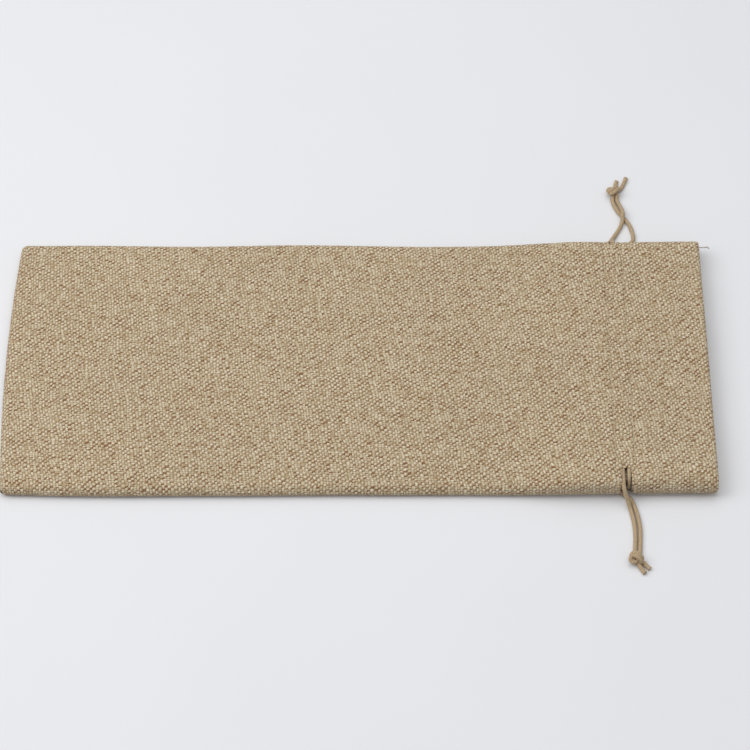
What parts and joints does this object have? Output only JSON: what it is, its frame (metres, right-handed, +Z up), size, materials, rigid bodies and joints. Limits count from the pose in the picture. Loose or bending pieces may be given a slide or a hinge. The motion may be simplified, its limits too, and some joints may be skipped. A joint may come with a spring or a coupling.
{
  "type": "drawstring wine bottle gift bag",
  "caption": "Flat, empty drawstring gift bag for one wine bottle: coarse woven cloth, hemmed neck channel, and a knotted braided cord leaving each side.",
  "frame": {"origin": "on the table under the middle of the flat bag", "axes": "+X towards the bag's mouth, +Y across to the far side seam, +Z up"},
  "size_m": [0.35, 0.2415, 0.0124],
  "materials": {
    "cloth": "coarse plain weave, melange of cream, tan and rust yarns",
    "cord": "round braided cord, golden tan",
    "thread": "cream sewing thread"
  },
  "bodies": {
    "bag": {"front_panel": "cloth", "back_panel": "cloth", "front_facing": "cloth", "back_facing": "cloth", "bottom_seam_allowance": "cloth", "near_seam_allowance": "cloth", "far_seam_allowance": "cloth", "bottom_seam_thread": "thread", "bottom_overlock_thread": "thread", "front_channel_lower_stitching": "thread", "front_channel_upper_stitching": "thread", "back_channel_lower_stitching": "thread", "back_channel_upper_stitching": "thread", "near_side_seam_thread": "thread", "near_ruffle_seam_thread": "thread", "near_overlock_thread": "thread", "near_slot_lower_tack": "thread", "near_slot_upper_tack": "thread", "far_side_seam_thread": "thread", "far_ruffle_seam_thread": "thread", "far_overlock_thread": "thread", "far_slot_lower_tack": "thread", "far_slot_upper_tack": "thread"},
    "near_drawstring": {"near_cord_loop": "cord", "near_cord_front_tail": "cord", "near_cord_back_tail": "cord", "near_cord_knot": "cord", "near_cord_end_a": "cord", "near_cord_end_b": "cord"},
    "far_drawstring": {"far_cord_loop": "cord", "far_cord_front_tail": "cord", "far_cord_back_tail": "cord", "far_cord_knot": "cord", "far_cord_end_a": "cord", "far_cord_end_b": "cord"}
  },
  "joints": [
    {"name": "near_drawstring_pull", "type": "slide", "parent": "bag", "child": "near_drawstring", "axis": [0, -1, 0], "range_m": [0, 0.05], "deforming": ["front_facing", "back_facing"]},
    {"name": "far_drawstring_pull", "type": "slide", "parent": "bag", "child": "far_drawstring", "axis": [0, 1, 0], "range_m": [0, 0.05], "deforming": ["front_facing", "back_facing"]}
  ]
}
